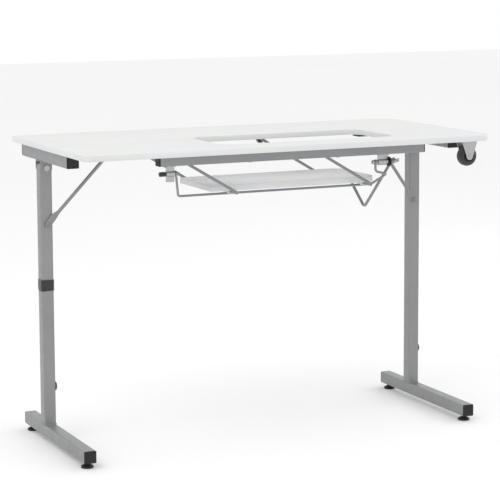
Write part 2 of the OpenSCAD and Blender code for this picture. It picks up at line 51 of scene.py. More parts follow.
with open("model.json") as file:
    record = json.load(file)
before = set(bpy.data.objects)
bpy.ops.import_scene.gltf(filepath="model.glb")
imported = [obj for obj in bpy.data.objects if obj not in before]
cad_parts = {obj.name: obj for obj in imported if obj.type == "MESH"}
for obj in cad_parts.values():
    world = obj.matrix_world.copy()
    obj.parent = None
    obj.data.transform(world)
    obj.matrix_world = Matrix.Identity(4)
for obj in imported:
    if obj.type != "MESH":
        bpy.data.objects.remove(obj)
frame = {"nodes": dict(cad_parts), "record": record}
cad_low, cad_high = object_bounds()


# ---------- places taken from the frame ----------


def low(node):
    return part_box(node)[0]


def high(node):
    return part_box(node)[1]


def middle(node):
    a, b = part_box(node)
    return (a + b) / 2


def size(node):
    a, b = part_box(node)
    return b - a


# ---------- node trees ----------


class Finish:
    """A Principled material whose colour, roughness and bump come from the object's own coordinates."""

    def __init__(self, name, colour, roughness, metallic=0.0, **constants):
        self.material = bpy.data.materials.new(name)
        self.material.use_nodes = True
        self.tree = self.material.node_tree
        self.tree.nodes.clear()
        self.out = self.node("ShaderNodeOutputMaterial")
        self.shader = self.node("ShaderNodeBsdfPrincipled")
        self.join(self.shader, "BSDF", self.out, "Surface")
        self.shader.inputs["Base Color"].default_value = (*colour, 1)
        self.shader.inputs["Roughness"].default_value = roughness
        self.shader.inputs["Metallic"].default_value = metallic
        for socket, value in constants.items():
            self.shader.inputs[socket.replace("_", " ")].default_value = value
        self.place = self.node("ShaderNodeTexCoord")
        self.colour_from = (*colour, 1)
        self.height_from = None

    def node(self, kind, **settings):
        n = self.tree.nodes.new(kind)
        for key, value in settings.items():
            setattr(n, key, value)
        return n

    def join(self, a, a_socket, b, b_socket):
        self.tree.links.new(a.outputs[a_socket], b.inputs[b_socket])

    def coordinates(self, stretch=(1, 1, 1)):
        m = self.node("ShaderNodeMapping")
        m.inputs["Scale"].default_value = stretch
        self.join(self.place, "Object", m, "Vector")
        return m

    def noise(self, scale, detail=4.0, stretch=(1, 1, 1), roughness=0.5):
        n = self.node("ShaderNodeTexNoise")
        n.inputs["Scale"].default_value = scale
        n.inputs["Detail"].default_value = detail
        n.inputs["Roughness"].default_value = roughness
        self.join(self.coordinates(stretch), "Vector", n, "Vector")
        return n, "Fac"

    def cells(self, scale, stretch=(1, 1, 1)):
        n = self.node("ShaderNodeTexVoronoi")
        n.inputs["Scale"].default_value = scale
        self.join(self.coordinates(stretch), "Vector", n, "Vector")
        return n, "Distance"

    def ribs(self, scale, direction, stretch=(1, 1, 1)):
        n = self.node("ShaderNodeTexWave", bands_direction=direction)
        n.inputs["Scale"].default_value = scale
        n.inputs["Distortion"].default_value = 0.3
        self.join(self.coordinates(stretch), "Vector", n, "Vector")
        return n, "Fac"

    def ranged(self, source, low_in, high_in, low_out, high_out):
        n = self.node("ShaderNodeMapRange")
        for socket, value in zip(
            ("From Min", "From Max", "To Min", "To Max"),
            (low_in, high_in, low_out, high_out),
        ):
            n.inputs[socket].default_value = value
        self.join(source[0], source[1], n, "Value")
        return n, "Result"

    def tint(self, source, colour, low_in, high_in, amount):
        """Blends the colour so far towards another where the source is high."""
        share = self.ranged(source, low_in, high_in, 0, amount)
        n = self.node("ShaderNodeMix", data_type="RGBA")
        self.join(share[0], share[1], n, "Factor")
        if isinstance(self.colour_from, tuple) and len(self.colour_from) == 4:
            n.inputs["A"].default_value = self.colour_from
        else:
            self.tree.links.new(self.colour_from, n.inputs["A"])
        n.inputs["B"].default_value = (*colour, 1)
        self.colour_from = n.outputs["Result"]
        self.tree.links.new(self.colour_from, self.shader.inputs["Base Color"])
        return self

    def shine(self, source, low_in, high_in, low_out, high_out):
        made = self.ranged(source, low_in, high_in, low_out, high_out)
        self.join(made[0], made[1], self.shader, "Roughness")
        return self

    def bump(self, source, strength, depth):
        n = self.node("ShaderNodeBump")
        n.inputs["Strength"].default_value = strength
        n.inputs["Distance"].default_value = depth
        self.join(source[0], source[1], n, "Height")
        if self.height_from is not None:
            self.tree.links.new(self.height_from, n.inputs["Normal"])
        self.height_from = n.outputs["Normal"]
        self.tree.links.new(self.height_from, self.shader.inputs["Normal"])
        return self


# ---------- finishes, one for each material slot ----------


def white_board():
    """Melamine-faced board: off-white with a very fine pearl texture."""
    m = Finish("white_board", (0.69, 0.69, 0.682), 0.42, Coat_Weight=0.12, Coat_Roughness=0.3)
    m.tint(m.noise(3.0, 3), (0.665, 0.67, 0.675), 0.4, 0.7, 0.35)
    m.tint(m.noise(900, 2), (0.63, 0.63, 0.62), 0.62, 0.72, 0.30)
    m.shine(m.noise(14, 5), 0.3, 0.7, 0.36, 0.48)
    return m.bump(m.cells(1100), 0.10, 0.00008).bump(m.noise(45, 3), 0.05, 0.0002)


def edge_white():
    """PVC edge banding: a cooler white with a fine drawn grain along its length."""
    m = Finish("edge_white", (0.68, 0.688, 0.696), 0.45)
    m.tint(m.noise(6, 3), (0.61, 0.623, 0.636), 0.42, 0.68, 0.5)
    m.shine(m.noise(120, 4, (1, 1, 4)), 0.3, 0.7, 0.38, 0.52)
    return m.bump(m.noise(700, 3, (0.2, 0.2, 3)), 0.12, 0.0001)


def powder_coat(name, colour, dark, light, roughness):
    """Baked powder coat: orange peel, pin speckle, and slight scuffing in streaks along the height."""
    m = Finish(name, colour, roughness, metallic=0.45, Coat_Weight=0.1, Coat_Roughness=0.35)
    m.tint(m.noise(9, 4), dark, 0.42, 0.7, 0.45)
    m.tint(m.cells(1400), light, 0.45, 0.8, 0.35)
    m.tint(m.noise(260, 5), dark, 0.6, 0.72, 0.35)
    m.tint(m.noise(55, 6, (1, 1, 0.25)), light, 0.66, 0.74, 0.35)
    m.shine(m.noise(80, 5), 0.3, 0.7, roughness - 0.06, roughness + 0.1)
    return m.bump(m.noise(520, 2), 0.28, 0.00012).bump(m.cells(1800), 0.1, 0.00005)


def grey_paint():
    return powder_coat("grey_paint", (0.255, 0.258, 0.262), (0.21, 0.213, 0.217), (0.35, 0.353, 0.358), 0.38)


def grey_wire():
    return powder_coat("grey_wire", (0.24, 0.243, 0.248), (0.195, 0.198, 0.204), (0.34, 0.343, 0.35), 0.34)


def zinc():
    """Bright zinc plate: brushed, with the blotches of the passivation."""
    m = Finish("zinc", (0.44, 0.447, 0.458), 0.38, metallic=0.9, Anisotropic=0.35)
    m.tint(m.noise(38, 4), (0.39, 0.40, 0.425), 0.4, 0.7, 0.55)
    m.tint(m.noise(22, 3), (0.57, 0.56, 0.53), 0.55, 0.8, 0.35)
    m.shine(m.noise(300, 6, (1, 1, 0.08)), 0.3, 0.7, 0.26, 0.46)
    return m.bump(m.noise(900, 3, (1, 1, 0.05)), 0.18, 0.00006)


def black_plastic():
    """Moulded plastic with a fine spark-eroded grain."""
    m = Finish("black_plastic", (0.014, 0.014, 0.015), 0.5, Specular_IOR_Level=0.32)
    m.tint(m.noise(30, 4), (0.024, 0.024, 0.026), 0.45, 0.7, 0.6)
    m.tint(m.noise(160, 5), (0.04, 0.04, 0.042), 0.66, 0.76, 0.5)
    m.shine(m.noise(60, 4), 0.3, 0.7, 0.42, 0.6)
    return m.bump(m.noise(1500, 2), 0.35, 0.00008)


def black_rubber():
    """Rubber with a dusty bloom."""
    m = Finish("black_rubber", (0.018, 0.018, 0.018), 0.72, Sheen_Weight=0.25, Sheen_Roughness=0.6)
    m.tint(m.noise(26, 5), (0.06, 0.058, 0.055), 0.5, 0.78, 0.6)
    m.shine(m.noise(90, 4), 0.3, 0.7, 0.62, 0.82)
    return m.bump(m.noise(1100, 3), 0.3, 0.0001)


def clip_plastic():
    """White nylon, slightly milky."""
    m = Finish("clip_plastic", (0.66, 0.66, 0.64), 0.48, Subsurface_Weight=0.08)
    m.tint(m.noise(70, 4), (0.56, 0.56, 0.545), 0.45, 0.7, 0.5)
    m.shine(m.noise(110, 4), 0.3, 0.7, 0.4, 0.56)
    return m.bump(m.noise(1300, 2), 0.2, 0.00006)


def strap_weave():
    """Black webbing: crossing ribs with fuzz on top."""
    m = Finish("strap", (0.020, 0.020, 0.021), 0.85, Sheen_Weight=0.4, Sheen_Roughness=0.5)
    m.tint(m.ribs(420, "Z"), (0.045, 0.045, 0.048), 0.4, 0.9, 0.8)
    m.tint(m.noise(60, 5), (0.06, 0.06, 0.062), 0.55, 0.75, 0.5)
    m.shine(m.noise(200, 4), 0.3, 0.7, 0.78, 0.92)
    m.bump(m.ribs(420, "Z"), 0.7, 0.0003)
    m.bump(m.ribs(300, "DIAGONAL"), 0.35, 0.0002)
    return m.bump(m.noise(2600, 2), 0.4, 0.00015)


FINISHES = {
    "white_board": white_board().material,
    "edge_white": edge_white().material,
    "grey_paint": grey_paint().material,
    "grey_wire": grey_wire().material,
    "zinc": zinc().material,
    "black_plastic": black_plastic().material,
    "black_rubber": black_rubber().material,
    "clip_plastic": clip_plastic().material,
    "strap": strap_weave().material,
}


def paint_cad():
    """Gives every CAD node the finish of its own slot."""
    for row in frame["record"]["subparts"]:
        for s in frame["nodes"][row["node"]].material_slots:
            s.material = FINISHES[row["material_slot"]]


# ---------- mesh helpers: every mesh is written in the row frame, in metres ----------


def piece(name, verts, faces, slot, body, *nodes, smooth=40):
    """A finished object: its mesh, its finish, the body it rides on and the CAD nodes it stands for."""
    mesh = bpy.data.meshes.new(name)
    mesh.from_pydata([tuple(v) for v in verts], [], faces)
    mesh.validate()
    mesh.update()
    obj = bpy.data.objects.new(name, mesh)
    bpy.context.collection.objects.link(obj)
    face_outwards(mesh)
    mesh.shade_smooth()
    mesh.set_sharp_from_angle(angle=math.radians(smooth))
    mesh.materials.append(FINISHES[slot])
    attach(obj, body)
    if nodes:
        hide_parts(*nodes)


def face_outwards(mesh):
    """Turns every face of a mesh to the outside."""
    b = bmesh.new()
    b.from_mesh(mesh)
    bmesh.ops.recalc_face_normals(b, faces=b.faces)
    b.to_mesh(mesh)
    b.free()


def joined(*parts):
    """Several (verts, faces) as one."""
    verts, faces = [], []
    for v, f in parts:
        base = len(verts)
        verts += list(v)
        faces += [tuple(i + base for i in face) for face in f]
    return verts, faces


def skin(loops, closed=False):
    """A surface through loops of equally many points. A closed one ends where it starts, as a ring does."""
    n = len(loops[0])
    verts = [p for loop in loops for p in loop]
    faces = []
    last = len(loops) if closed else len(loops) - 1
    for k in range(last):
        a, b = k * n, ((k + 1) % len(loops)) * n
        for i in range(n):
            j = (i + 1) % n
            faces.append((a + i, a + j, b + j, b + i))
    if not closed:
        faces.append(tuple(range(n)))
        faces.append(tuple((len(loops) - 1) * n + i for i in range(n)))
    return verts, faces


def rounded_rectangle(x0, y0, x1, y1, left_r, right_r=None, steps=ARC_STEPS):
    """Points round a rectangle, anticlockwise, whose left and right corners have their own radii."""
    right_r = left_r if right_r is None else right_r
    corners = (
        (x1 - right_r, y0 + right_r, right_r, -90),
        (x1 - right_r, y1 - right_r, right_r, 0),
        (x0 + left_r, y1 - left_r, left_r, 90),
        (x0 + left_r, y0 + left_r, left_r, 180),
    )
    points = []
    for cx, cy, r, start in corners:
        for k in range(steps + 1):
            a = math.radians(start + 90 * k / steps)
            points.append((cx + r * math.cos(a), cy + r * math.sin(a)))
    return points


def place(points, along, at):
    """Puts flat points in space: along is the axis the flat shape faces, at is where on it."""
    order = {
        "x": lambda p: (at, p[0], p[1]),
        "y": lambda p: (p[0], at, p[1]),
        "z": lambda p: (p[0], p[1], at),
    }
    return [Vector(order[along](p)) for p in points]


def lathe(centre, axis, profile, steps=40):
    """Turns (place along the axis, radius) points round an axis through centre. Radius 0 ends in a point."""
    axis = Vector(axis).normalized()
    side = axis.orthogonal().normalized()
    other = axis.cross(side)
    loops = []
    for t, r in profile:
        r = max(r, 1e-5)
        loops.append(
            [
                Vector(centre) + axis * t + (side * math.cos(a) + other * math.sin(a)) * r
                for a in (TAU * k / steps for k in range(steps))
            ]
        )
    return skin(loops)


def bent(points, radius, steps=8):
    """A path through corner points with each corner turned into an arc."""
    path = [Vector(points[0])]
    for before, corner, after in zip(points, points[1:], points[2:]):
        before, corner, after = Vector(before), Vector(corner), Vector(after)
        u, v = (before - corner).normalized(), (after - corner).normalized()
        turn = math.pi - u.angle(v)
        reach = radius * math.tan(turn / 2)
        reach = min(reach, 0.45 * (before - corner).length, 0.45 * (after - corner).length)
        r = reach / math.tan(turn / 2)
        middle_way = (u + v).normalized()
        centre = corner + middle_way * math.hypot(r, reach)
        start, normal = corner + u * reach, u.cross(v).normalized()
        for k in range(steps + 1):
            path.append(centre + Matrix.Rotation(-turn * k / steps, 3, normal) @ (start - centre))
    return path + [Vector(points[-1])]


def sweep(path, radius, steps=20, end_round=0.35):
    """A round bar along a path, with softened ends."""
    tangents = []
    for i in range(len(path)):
        a, b = path[max(i - 1, 0)], path[min(i + 1, len(path) - 1)]
        tangents.append((b - a).normalized())
    side = tangents[0].orthogonal().normalized()
    loops = []

    def section(at, tangent, side, scale):
        up = tangent.cross(side).normalized()
        return [
            at + (side * math.cos(a) + up * math.sin(a)) * radius * scale
            for a in (TAU * k / steps for k in range(steps))
        ]

    for i, (at, tangent) in enumerate(zip(path, tangents)):
        if i:
            side = tangents[i - 1].rotation_difference(tangent) @ side
            side = (side - tangent * side.dot(tangent)).normalized()
        if i == 0:
            for push, scale in ((0, 1 - end_round), (0.12, 1 - end_round * 0.4)):
                loops.append(section(at + tangent * radius * push, tangent, side, scale))
            loops.append(section(at + tangent * radius * end_round, tangent, side, 1))
        elif i == len(path) - 1:
            loops.append(section(at - tangent * radius * end_round, tangent, side, 1))
            for push, scale in ((0.12, 1 - end_round * 0.4), (0, 1 - end_round)):
                loops.append(section(at - tangent * radius * push, tangent, side, scale))
        else:
            loops.append(section(at, tangent, side, 1))
    return skin(loops)


def pan_head(centre, axis, d, h, slot_d=0.62, grid=16):
    """A domed screw head with a cross recess, facing along axis; centre is in the middle of its seat."""
    axis = Vector(axis).normalized()
    u = axis.orthogonal().normalized()
    v = axis.cross(u)
    r = d / 2
    verts, faces = [], []
    for i in range(grid + 1):
        for j in range(grid + 1):
            a, b = 2 * i / grid - 1, 2 * j / grid - 1
            x, y = a * math.sqrt(1 - b * b / 2), b * math.sqrt(1 - a * a / 2)
            q = math.hypot(x, y)
            rise = h * (0.45 + 0.55 * math.sqrt(max(1 - q**2.6, 0)))
            arm = min(abs(a), abs(b)) < 0.13 and max(abs(a), abs(b)) < slot_d
            verts.append(Vector(centre) + (u * x + v * y) * r + axis * (rise - (0.42 * h if arm else 0)))
    for i in range(grid):
        for j in range(grid):
            k = i * (grid + 1) + j
            faces.append((k, k + 1, k + grid + 2, k + grid + 1))
    rim = [j for j in range(grid)] + [i * (grid + 1) + grid for i in range(grid)]
    rim += [grid * (grid + 1) + j for j in range(grid, 0, -1)] + [i * (grid + 1) for i in range(grid, 0, -1)]
    base = len(verts)
    for k in rim:
        p = verts[k] - Vector(centre)
        verts.append(Vector(centre) + p - axis * p.dot(axis))
    for k in range(len(rim)):
        n = (k + 1) % len(rim)
        faces.append((rim[k], base + k, base + n, rim[n]))
    faces.append(tuple(base + k for k in range(len(rim))))
    return verts, faces


SHARPEST_R = 0.4 * MM


def rounded_bar(along, start, end, box, r, wall=None):
    """A bar of rounded section between two places on an axis: box is its flat (x0, y0, x1, y1).
    With a wall it is a tube; its ends have a fine chamfer either way."""
    x0, y0, x1, y1 = box
    chamfer = 0.3 * MM if end > start else -0.3 * MM

    def loop(inset, at):
        corner = max(r - inset, SHARPEST_R)
        flat = rounded_rectangle(x0 + inset, y0 + inset, x1 - inset, y1 - inset, corner)
        return place(flat, along, at)

    outer = [(0.3 * MM, start), (0, start + chamfer), (0, end - chamfer), (0.3 * MM, end)]
    if wall is None:
        return skin([loop(i, at) for i, at in outer])
    inner = [(wall, end), (wall, start)]
    return skin([loop(i, at) for i, at in outer + inner], closed=True)


# ---------- boards ----------

BOARD_LEFT_R = 15 * MM
BOARD_RIGHT_R = 50 * MM
OPENING_R = 28 * MM
PLATFORM_LEFT_R = 6 * MM
PLATFORM_RIGHT_R = 30 * MM
BAND = 1.5 * MM
EDGE = 0.45 * MM


def outline(node, inset, z, left_r, right_r):
    """The rounded rectangle of a node's box, drawn in by inset, at height z."""
    a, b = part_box(node)
    left, right = left_r - inset, right_r - inset
    flat = rounded_rectangle(a.x + inset, a.y + inset, b.x - inset, b.y - inset, left, right)
    return place(flat, "z", z)


def edge_profile(z0, z1):
    """(inset, height) round a board's eased edge, from its underside to its top."""
    soft = 0.3 * EDGE
    return [(EDGE, z0), (soft, z0 + soft), (0, z0 + EDGE), (0, z1 - EDGE), (soft, z1 - soft), (EDGE, z1)]


def band_profile(z0, z1):
    """(inset, height) round a strip of edge banding, whose outer corners are rounded by hand."""
    return [
        (BAND - 0.05 * MM, z0 + 0.3 * MM),
        (BAND - 0.3 * MM, z0),
        (0.9 * MM, z0),
        (0.3 * MM, z0 + 0.3 * MM),
        (0, z0 + 1.0 * MM),
        (0, z1 - 1.0 * MM),
        (0.3 * MM, z1 - 0.3 * MM),
        (0.9 * MM, z1),
        (BAND - 0.3 * MM, z1),
        (BAND - 0.05 * MM, z1 - 0.3 * MM),
    ]


def band(name, node, body, left_r, right_r, inwards=1, *nodes):
    """Edge banding round a node's box. Inwards is -1 for an opening, whose rounded side faces in."""
    z0, z1 = low(node).z, high(node).z
    if inwards > 0:
        loops = [outline(node, i, z, left_r, right_r) for i, z in band_profile(z0, z1)]
    else:
        loops = [outline(node, BAND - i, z, left_r + BAND, right_r + BAND) for i, z in band_profile(z0, z1)]
    piece(name, *skin(loops, closed=True), "edge_white", body, *nodes)


def table_board():
    z0, z1 = low("tabletop").z, high("tabletop").z
    outer = [outline("edge_band", BAND + i, z, BOARD_LEFT_R, BOARD_RIGHT_R) for i, z in edge_profile(z0, z1)]
    hole_r = OPENING_R + BAND
    inner = [outline("opening_band", -i, z, hole_r, hole_r) for i, z in reversed(edge_profile(z0, z1))]
    piece("board", *skin(outer + inner, closed=True), "white_board", "root", "tabletop")
    band("board_band", "edge_band", "root", BOARD_LEFT_R, BOARD_RIGHT_R, 1, "edge_band")
    band("opening_edge", "opening_band", "root", OPENING_R, OPENING_R, -1, "opening_band")


def platform_board():
    z0, z1 = low("platform").z, high("platform").z
    loops = [
        outline("platform", BAND + i, z, PLATFORM_LEFT_R, PLATFORM_RIGHT_R) for i, z in edge_profile(z0, z1)
    ]
    piece("platform_board", *skin(loops), "white_board", "platform", "platform")
    band("platform_band", "platform", "platform", PLATFORM_LEFT_R, PLATFORM_RIGHT_R)


# ---------- painted tubes, their welds and caps ----------

TUBE_R = 2.6 * MM
WALL = 1.5 * MM
BEAD_R = 1.7 * MM


def flat_box(node, along):
    """A node's box without one axis, as (u0, v0, u1, v1)."""
    a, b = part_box(node)
    u, v = {"x": (1, 2), "y": (0, 2), "z": (0, 1)}[along]
    return a[u], a[v], b[u], b[v]


def tube(name, node, along, body):
    axis = "xyz".index(along)
    start, end = low(node)[axis], high(node)[axis]
    shape = rounded_bar(along, start, end, flat_box(node, along), TUBE_R, WALL)
    piece(name, *shape, "grey_paint", body, node)


def cap(along, at, direction, box):
    """A moulded cap with a soft rim and a shallow dish in its face. at is the tube's end."""
    x0, y0, x1, y1 = box
    profile = [(0, 0), (0, 1.7), (0.25, 2.4), (0.9, 2.85), (1.8, 3.0), (3.6, 3.0), (4.1, 2.6), (5.5, 2.5)]
    loops = []
    for inset, rise in profile:
        i = inset * MM
        flat = rounded_rectangle(x0 + i, y0 + i, x1 - i, y1 - i, max(TUBE_R - i * 0.4, 0.8 * MM))
        loops.append(place(flat, along, at + direction * rise * MM))
    return skin(loops)


def caps(name, tube_node, caps_node, along, body):
    """The two end caps of one tube."""
    axis = "xyz".index(along)
    box = flat_box(tube_node, along)
    ends = [cap(along, low(tube_node)[axis], -1, box), cap(along, high(tube_node)[axis], 1, box)]
    piece(name, *joined(*ends), "black_plastic", body, caps_node)


def leg(side):
    """A leg whose top is rounded about its hinge bolt."""
    node, body = side + "_leg", side + "_leg"
    a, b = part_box(node)
    half = (b.x - a.x) / 2
    x, pivot = (a.x + b.x) / 2, b.z - half
    sections = [(a.z, half), (pivot, half)]
    angles = [math.radians(d) for d in range(10, 90, 8)]
    sections += [(pivot + half * math.sin(t), half * math.cos(t)) for t in angles]
    loops = [
        place(rounded_rectangle(x - w, a.y, x + w, b.y, min(TUBE_R, w * 0.6)), "z", z) for z, w in sections
    ]
    piece(side + "_leg_tube", *skin(loops), "grey_paint", body, node, side + "_leg_plug")
    weld(side, x, (a.y + b.y) / 2, a.z, half, body)


def weld(side, x, y, z, half, body):
    """The bead where a leg is welded to its foot: overlapping ripples round the leg."""
    flat = rounded_rectangle(x - half, y - half, x + half, y + half, TUBE_R, steps=6)
    ring, travelled = [], 0
    for k, (px, py) in enumerate(flat):
        qx, qy = flat[(k + 1) % len(flat)]
        stretch = math.hypot(qx - px, qy - py)
        parts = max(1, round(stretch / (1.1 * MM)))
        for j in range(parts):
            s = travelled + stretch * j / parts
            ring.append((px + (qx - px) * j / parts, py + (qy - py) * j / parts, s))
        travelled += stretch
    loops = []
    for px, py, s in ring:
        r = BEAD_R * (1 + 0.16 * math.sin(s / MM * 2.1) + 0.07 * math.sin(s / MM * 0.37))
        out = Vector((px - x, py - y, 0)).normalized()
        loops.append(
            [Vector((px, py, z)) + (out * math.cos(a) + Vector((0, 0, 1)) * math.sin(a)) * r for a in
             (TAU * k / 10 for k in range(10))]
        )
    piece(side + "_leg_weld", *skin(loops, closed=True), "grey_paint", body)


def frame_tubes():
    """The rail, the crossbars, the feet and the legs, with their caps."""
    tube("rail_tube", "front_rail", "x", "root")
    caps("rail_end_caps", "front_rail", "rail_caps", "x", "root")
    for side in ("left", "right"):
        tube(side + "_crossbar_tube", side + "_crossbar", "y", "root")
        caps(side + "_crossbar_ends", side + "_crossbar", "crossbar_caps", "y", "root")
        tube(side + "_foot_tube", side + "_foot", "y", side + "_leg")
        caps(side + "_foot_ends", side + "_foot", side + "_foot_caps", "y", side + "_leg")
        leg(side)


# ---------- screws ----------


def screws(name, node, points, d, h, axis, slot, body, shaft=None):
    """Cross-recessed heads at points, each with a short shank behind it."""
    parts = []
    for p in points:
        parts.append(pan_head(p, axis, d, h))
        if shaft:
            r, length = shaft
            parts.append(lathe(p, -Vector(axis), [(-0.4 * MM, r * 0.9), (0.2 * MM, r), (length, r)], 16))
    piece(name, *joined(*parts), slot, body, node, smooth=32)


FRAME_HEAD_D = 10 * MM
FRAME_HEAD_H = 2.5 * MM
FRAME_SHANK = (2.5 * MM, 30 * MM)
DOWN = (0, 0, -1)


def frame_screws():
    """The screws that hold the rail and the crossbars up to the board."""
    inset = FRAME_HEAD_D / 2
    rail_y = middle("front_rail").y
    seat = low("rail_screws").z + FRAME_HEAD_H
    a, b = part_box("rail_screws")
    rail = [(x, rail_y, seat) for x in (a.x + inset, b.x - inset)]
    a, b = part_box("crossbar_screws")
    bars = [(x, y, seat) for x in (a.x + inset, b.x - inset) for y in (a.y + inset, b.y - inset)]
    for kind, points in (("rail", rail), ("crossbar", bars)):
        node = kind + "_screws"
        name = kind + "_screw_heads"
        screws(name, node, points, FRAME_HEAD_D, FRAME_HEAD_H, DOWN, "zinc", "root", FRAME_SHANK)


# ---------- bent wires ----------

BAIL_R = 3.5 * MM
WIRE_R = 2.75 * MM
KNUCKLE = 0.3 * MM
BAIL_FRONT_STUB = 18 * MM
BAIL_REAR_STUB = 16 * MM


def bail(side):
    """A bail: pivot end, arm, cross rod, arm, pivot end, in one bent rod."""
    node = side + "_bail"
    a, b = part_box(node)
    k = BAIL_R + KNUCKLE
    x0, x1, top, rod = a.x + k, b.x - k, b.z - k, a.z + k
    y0, y1 = a.y + BAIL_FRONT_STUB, b.y - BAIL_REAR_STUB
    corners = [(x0, a.y, top), (x0, y0, top), (x1, y0, rod), (x1, y1, rod), (x0, y1, top), (x0, b.y, top)]
    piece(side + "_bail_rod", *sweep(bent(corners, 11 * MM), BAIL_R), "grey_wire", node, node)


def eye(centre, outer_r, inner_r, width):
    """The flattened, drilled end of a wire, on a pin along X."""
    e = 0.8 * MM
    profile = [
        (-width / 2 + e, inner_r), (-width / 2, inner_r + e), (-width / 2, outer_r - 2 * e),
        (-width / 2 + 0.6 * e, outer_r - 0.5 * e), (-width / 2 + 2 * e, outer_r),
        (width / 2 - 2 * e, outer_r), (width / 2 - 0.6 * e, outer_r - 0.5 * e),
        (width / 2, outer_r - 2 * e), (width / 2, inner_r + e),
        (width / 2 - e, inner_r),
    ]
    loops = []
    angles = [TAU * k / 36 for k in range(36)]
    for t, r in profile:
        loops.append([Vector(centre) + Vector((t, r * math.cos(a), r * math.sin(a))) for a in angles])
    return skin(loops, closed=True)


PIN_BORE_R = 3.08 * MM
WIRE_EYE_R = 6 * MM
WIRE_EYE_W = 6 * MM
WIRE_START = 3.8 * MM
WIRE_BEND_R = 10 * MM
EYE_OVER = 0.25 * MM
CLAMP_HEAD_TO_EYE = 10 * MM
HOOK_Y = -138 * MM
HOOK_Z = 606 * MM
RUN_IN = 41 * MM
HOOK_DROP = 22 * MM


def support_wire():
    """From the left eye along a run under the platform, then up and forward to the right eye."""
    pin = middle("latch_pin")
    a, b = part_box("support_wire")
    k = WIRE_R + KNUCKLE
    left = Vector((a.x + WIRE_R + EYE_OVER, pin.y, pin.z))
    right = Vector((low("clamp_screw").x + CLAMP_HEAD_TO_EYE, pin.y, pin.z))
    run_y, run_z, hook_x = b.y - k, a.z + k, b.x - k
    corners = [
        left,
        Vector((left.x + RUN_IN, run_y, run_z)),
        Vector((hook_x, run_y, run_z)),
        Vector((hook_x, HOOK_Y, HOOK_Z)),
        right - Vector((0, 0, HOOK_DROP)),
        right,
    ]
    corners[0] = left + (corners[1] - left).normalized() * WIRE_START
    corners[-1] = right + (corners[-2] - right).normalized() * WIRE_START
    eyes = [eye(at, WIRE_EYE_R, PIN_BORE_R, WIRE_EYE_W) for at in (left, right)]
    rod = joined(sweep(bent(corners, WIRE_BEND_R), WIRE_R), *eyes)
    piece("support_wire_rod", *rod, "grey_wire", "support_wire", "support_wire")


PROP_APEX = (-15 * MM, 512 * MM)
PROP_TIP = (62 * MM, 574 * MM)
PROP_START = 4.6 * MM
PROP_BEND_R = 13 * MM
PROP_EYE_R = 7 * MM
PROP_EYE_W = 7.4 * MM


def prop_arm():
    """A V of wire that hangs from an eye on the clamp screw, its far end under the platform."""
    pin = middle("latch_pin")
    x = middle("prop_arm").x
    hub = Vector((x, pin.y, pin.z))
    apex, tip = Vector((x, *PROP_APEX)), Vector((x, *PROP_TIP))
    start = hub + (apex - hub).normalized() * PROP_START
    rod = sweep(bent([start, apex, tip], PROP_BEND_R), BAIL_R)
    hub_eye = eye(hub, PROP_EYE_R, PIN_BORE_R, PROP_EYE_W)
    piece("prop_arm_rod", *joined(rod, hub_eye), "grey_wire", "prop_arm", "prop_arm")


def brace(side, sign):
    """A round brace, flattened round its lower screw and turned inwards at the top."""
    node = side + "_brace"
    a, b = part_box(node)
    radius, stub, tab_half, tab_thick = 4 * MM, 26 * MM, 7.5 * MM, 2 * MM
    screw = middle(side + "_brace_screw")
    top_x = (b.x if sign < 0 else a.x) + sign * (radius + KNUCKLE)
    top = Vector((top_x, a.y + stub, b.z - radius - KNUCKLE))
    tab_y = b.y - tab_thick
    foot = Vector((screw.x, tab_y, screw.z))
    along = Vector((top.x - foot.x, 0, top.z - foot.z)).normalized()
    across = Vector((along.z, 0, -along.x))
    start = foot + along * 22 * MM + Vector((0, -2.2 * MM, 0))
    y_dir = Vector((0, 1, 0))

    def section(at, wide, thick, power, side_dir, up_dir):
        loop = []
        for k in range(24):
            c, s = math.cos(TAU * k / 24), math.sin(TAU * k / 24)
            u = math.copysign(abs(c) ** power, c) * wide
            v = math.copysign(abs(s) ** power, s) * thick
            loop.append(at + side_dir * u + up_dir * v)
        return loop

    loops = []
    for t in (-7.45, -7.1, -6.2, -4.6, -2.4, 0):
        half = math.sqrt(max(tab_half**2 - (t * MM) ** 2, 1e-9))
        loops.append(section(foot + along * t * MM, half, tab_thick, 0.6, across, y_dir))
    for t in (8, 16, 22):
        loops.append(section(foot + along * t * MM, tab_half, tab_thick, 0.6, across, y_dir))
    reach = (top - start).normalized()
    for t, share in ((27, 0.2), (31, 0.5), (35, 0.8), (39, 1)):
        at = foot + along * t * MM
        at = at.lerp(start + reach * (t - 22) * MM, share)
        wide = tab_half + (radius - tab_half) * share
        thick = tab_thick + (radius - tab_thick) * share
        loops.append(section(at, wide, thick, 0.6 + 0.4 * share, across, y_dir))
    path = bent([start + reach * 20 * MM, top, top - y_dir * stub], 9 * MM)
    side_dir = across
    for i, at in enumerate(path):
        tangent = (path[min(i + 1, len(path) - 1)] - path[max(i - 1, 0)]).normalized()
        side_dir = (side_dir - tangent * side_dir.dot(tangent)).normalized()
        up_dir = side_dir.cross(tangent)
        if up_dir.dot(y_dir) < 0 and i == 0:
            up_dir = -up_dir
        flip = 1 if i == 0 else math.copysign(1, up_dir.dot(last_up))
        last_up = up_dir * flip
        if i == len(path) - 1:
            loops.append(section(at - tangent * 1.2 * MM, radius, radius, 1, side_dir, last_up))
            loops.append(section(at, radius * 0.7, radius * 0.7, 1, side_dir, last_up))
        else:
            loops.append(section(at, radius, radius, 1, side_dir, last_up))
    piece(side + "_brace_rod", *skin(loops), "grey_wire", node, node)


# ---------- feet, bumpers and strap ----------


